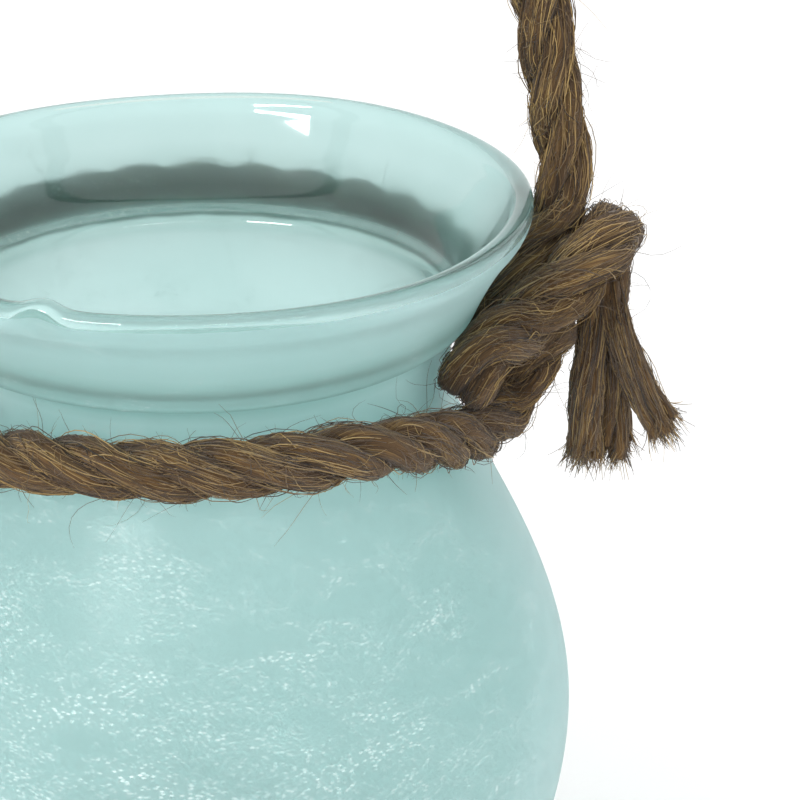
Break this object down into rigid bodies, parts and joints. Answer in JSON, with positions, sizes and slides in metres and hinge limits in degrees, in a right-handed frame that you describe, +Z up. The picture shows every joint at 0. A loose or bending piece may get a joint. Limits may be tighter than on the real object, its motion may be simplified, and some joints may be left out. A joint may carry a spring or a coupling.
{
  "type": "hanging lantern",
  "caption": "Bulbous frosted glass jar lantern with a flared collar, a rope ring round the neck, a knotted rope handle and a tealight inside.",
  "frame": {"origin": "centre of the jar's base, on the surface that it stands on", "axes": "+Z up along the jar's axis; +X through the right-hand hitch; the front is -Y"},
  "size_m": [0.1844, 0.142, 0.3299],
  "materials": {
    "frosted_glass": "satin",
    "jute_rope": "rough, fibrous",
    "tealight_cup": "satin",
    "wax": "satin",
    "cotton_wick": "matt"
  },
  "bodies": {
    "jar": {"glass_jar": "frosted_glass", "neck_rope": "jute_rope", "right_standing_end": "jute_rope", "right_hitch_wrap": "jute_rope", "right_tail_strand_inner": "jute_rope", "right_tail_strand_middle": "jute_rope", "right_tail_strand_outer": "jute_rope", "left_standing_end": "jute_rope", "left_hitch_wrap": "jute_rope", "left_tail_strand_inner": "jute_rope", "left_tail_strand_middle": "jute_rope", "left_tail_strand_outer": "jute_rope"},
    "handle": {"handle_rope": "jute_rope"},
    "tealight": {"tealight_cup": "tealight_cup", "tealight_wax": "wax", "wick_sustainer": "tealight_cup", "tealight_wick": "cotton_wick"}
  },
  "joints": [
    {"name": "handle_swing", "type": "hinge", "parent": "jar", "child": "handle", "pos_m": [0, 0, 0.176], "axis": [1, 0, 0], "range_deg": [-100, 100]},
    {"name": "tealight_lift", "type": "slide", "parent": "jar", "child": "tealight", "axis": [0, 0, 1], "range_m": [0, 0.175]}
  ]
}
